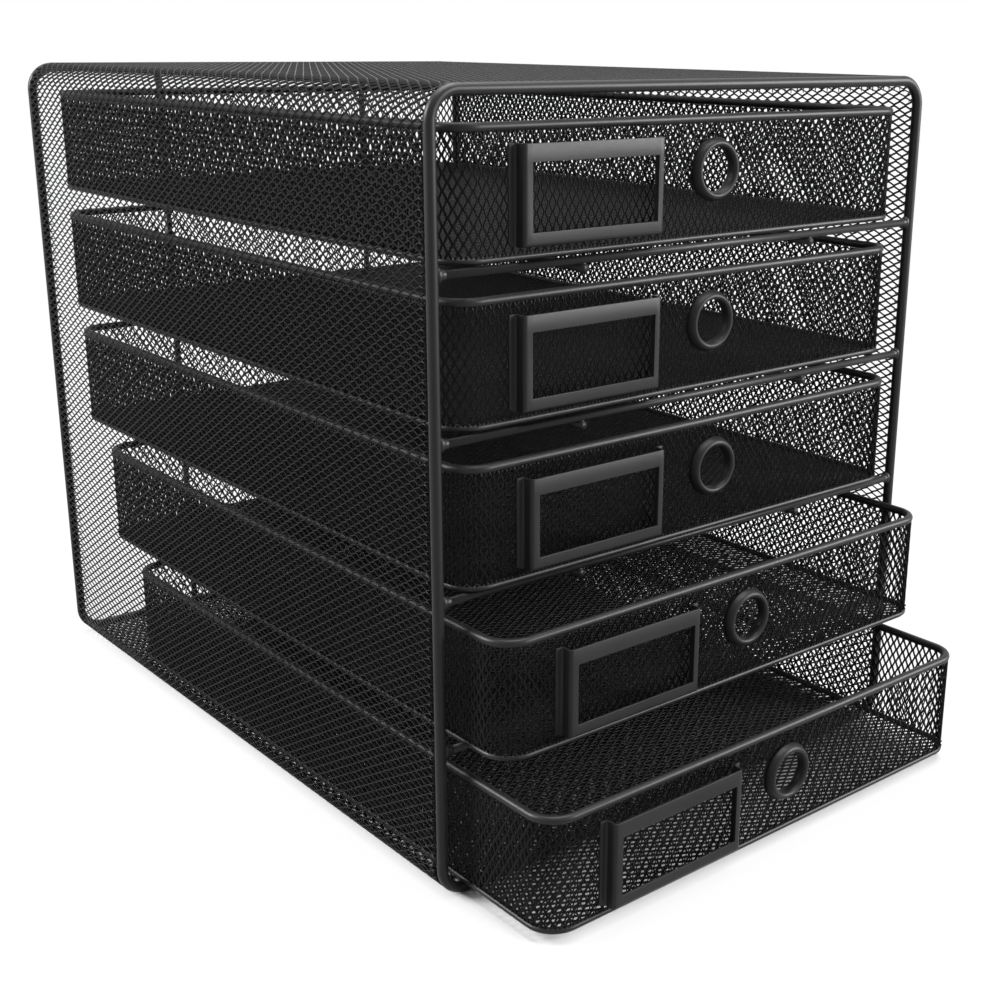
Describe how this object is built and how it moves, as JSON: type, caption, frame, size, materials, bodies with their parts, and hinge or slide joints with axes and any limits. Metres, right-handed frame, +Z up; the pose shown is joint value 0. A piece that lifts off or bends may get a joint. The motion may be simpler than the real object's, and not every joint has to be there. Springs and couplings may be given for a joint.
{
  "type": "mesh drawer organizer",
  "caption": "Free-standing desk cabinet of black wire mesh with stacked pull-out mesh trays, each with a label holder and a round finger ring.",
  "frame": {"origin": "middle of the cabinet's footprint, on the surface it stands on", "axes": "+Z up, -Y towards the tray fronts, +X to the right as one faces the trays"},
  "size_m": [0.243, 0.3725, 0.28],
  "materials": {
    "wire": "black satin powder coat",
    "mesh": "black satin powder coat on expanded steel mesh",
    "fittings": "black satin powder coat on folded and pressed sheet"
  },
  "bodies": {
    "cabinet": {"front_hoop": "wire", "rear_hoop": "wire", "mesh_sleeve": "mesh", "rear_upright_left": "wire", "rear_upright_right": "wire", "cross_wire_1": "wire", "runner_1_left": "wire", "runner_1_right": "wire", "cross_wire_2": "wire", "runner_2_left": "wire", "runner_2_right": "wire", "cross_wire_3": "wire", "runner_3_left": "wire", "runner_3_right": "wire", "cross_wire_4": "wire", "runner_4_left": "wire", "runner_4_right": "wire"},
    "drawer_1": {"drawer_1_wall_mesh": "mesh", "drawer_1_floor_mesh": "mesh", "drawer_1_rim_wire": "wire", "drawer_1_base_wire": "wire", "drawer_1_label_holder": "fittings", "drawer_1_finger_ring": "fittings"},
    "drawer_2": {"drawer_2_wall_mesh": "mesh", "drawer_2_floor_mesh": "mesh", "drawer_2_rim_wire": "wire", "drawer_2_base_wire": "wire", "drawer_2_label_holder": "fittings", "drawer_2_finger_ring": "fittings"},
    "drawer_3": {"drawer_3_wall_mesh": "mesh", "drawer_3_floor_mesh": "mesh", "drawer_3_rim_wire": "wire", "drawer_3_base_wire": "wire", "drawer_3_label_holder": "fittings", "drawer_3_finger_ring": "fittings"},
    "drawer_4": {"drawer_4_wall_mesh": "mesh", "drawer_4_floor_mesh": "mesh", "drawer_4_rim_wire": "wire", "drawer_4_base_wire": "wire", "drawer_4_label_holder": "fittings", "drawer_4_finger_ring": "fittings"},
    "drawer_5": {"drawer_5_wall_mesh": "mesh", "drawer_5_floor_mesh": "mesh", "drawer_5_rim_wire": "wire", "drawer_5_base_wire": "wire", "drawer_5_label_holder": "fittings", "drawer_5_finger_ring": "fittings"}
  },
  "joints": [
    {"name": "drawer_1_slide", "type": "slide", "parent": "cabinet", "child": "drawer_1", "axis": [0, -1, 0], "range_m": [0, 0.22]},
    {"name": "drawer_2_slide", "type": "slide", "parent": "cabinet", "child": "drawer_2", "axis": [0, -1, 0], "range_m": [0, 0.22]},
    {"name": "drawer_3_slide", "type": "slide", "parent": "cabinet", "child": "drawer_3", "axis": [0, -1, 0], "range_m": [-0.004, 0.216]},
    {"name": "drawer_4_slide", "type": "slide", "parent": "cabinet", "child": "drawer_4", "axis": [0, -1, 0], "range_m": [-0.025, 0.195]},
    {"name": "drawer_5_slide", "type": "slide", "parent": "cabinet", "child": "drawer_5", "axis": [0, -1, 0], "range_m": [-0.049, 0.171]}
  ]
}
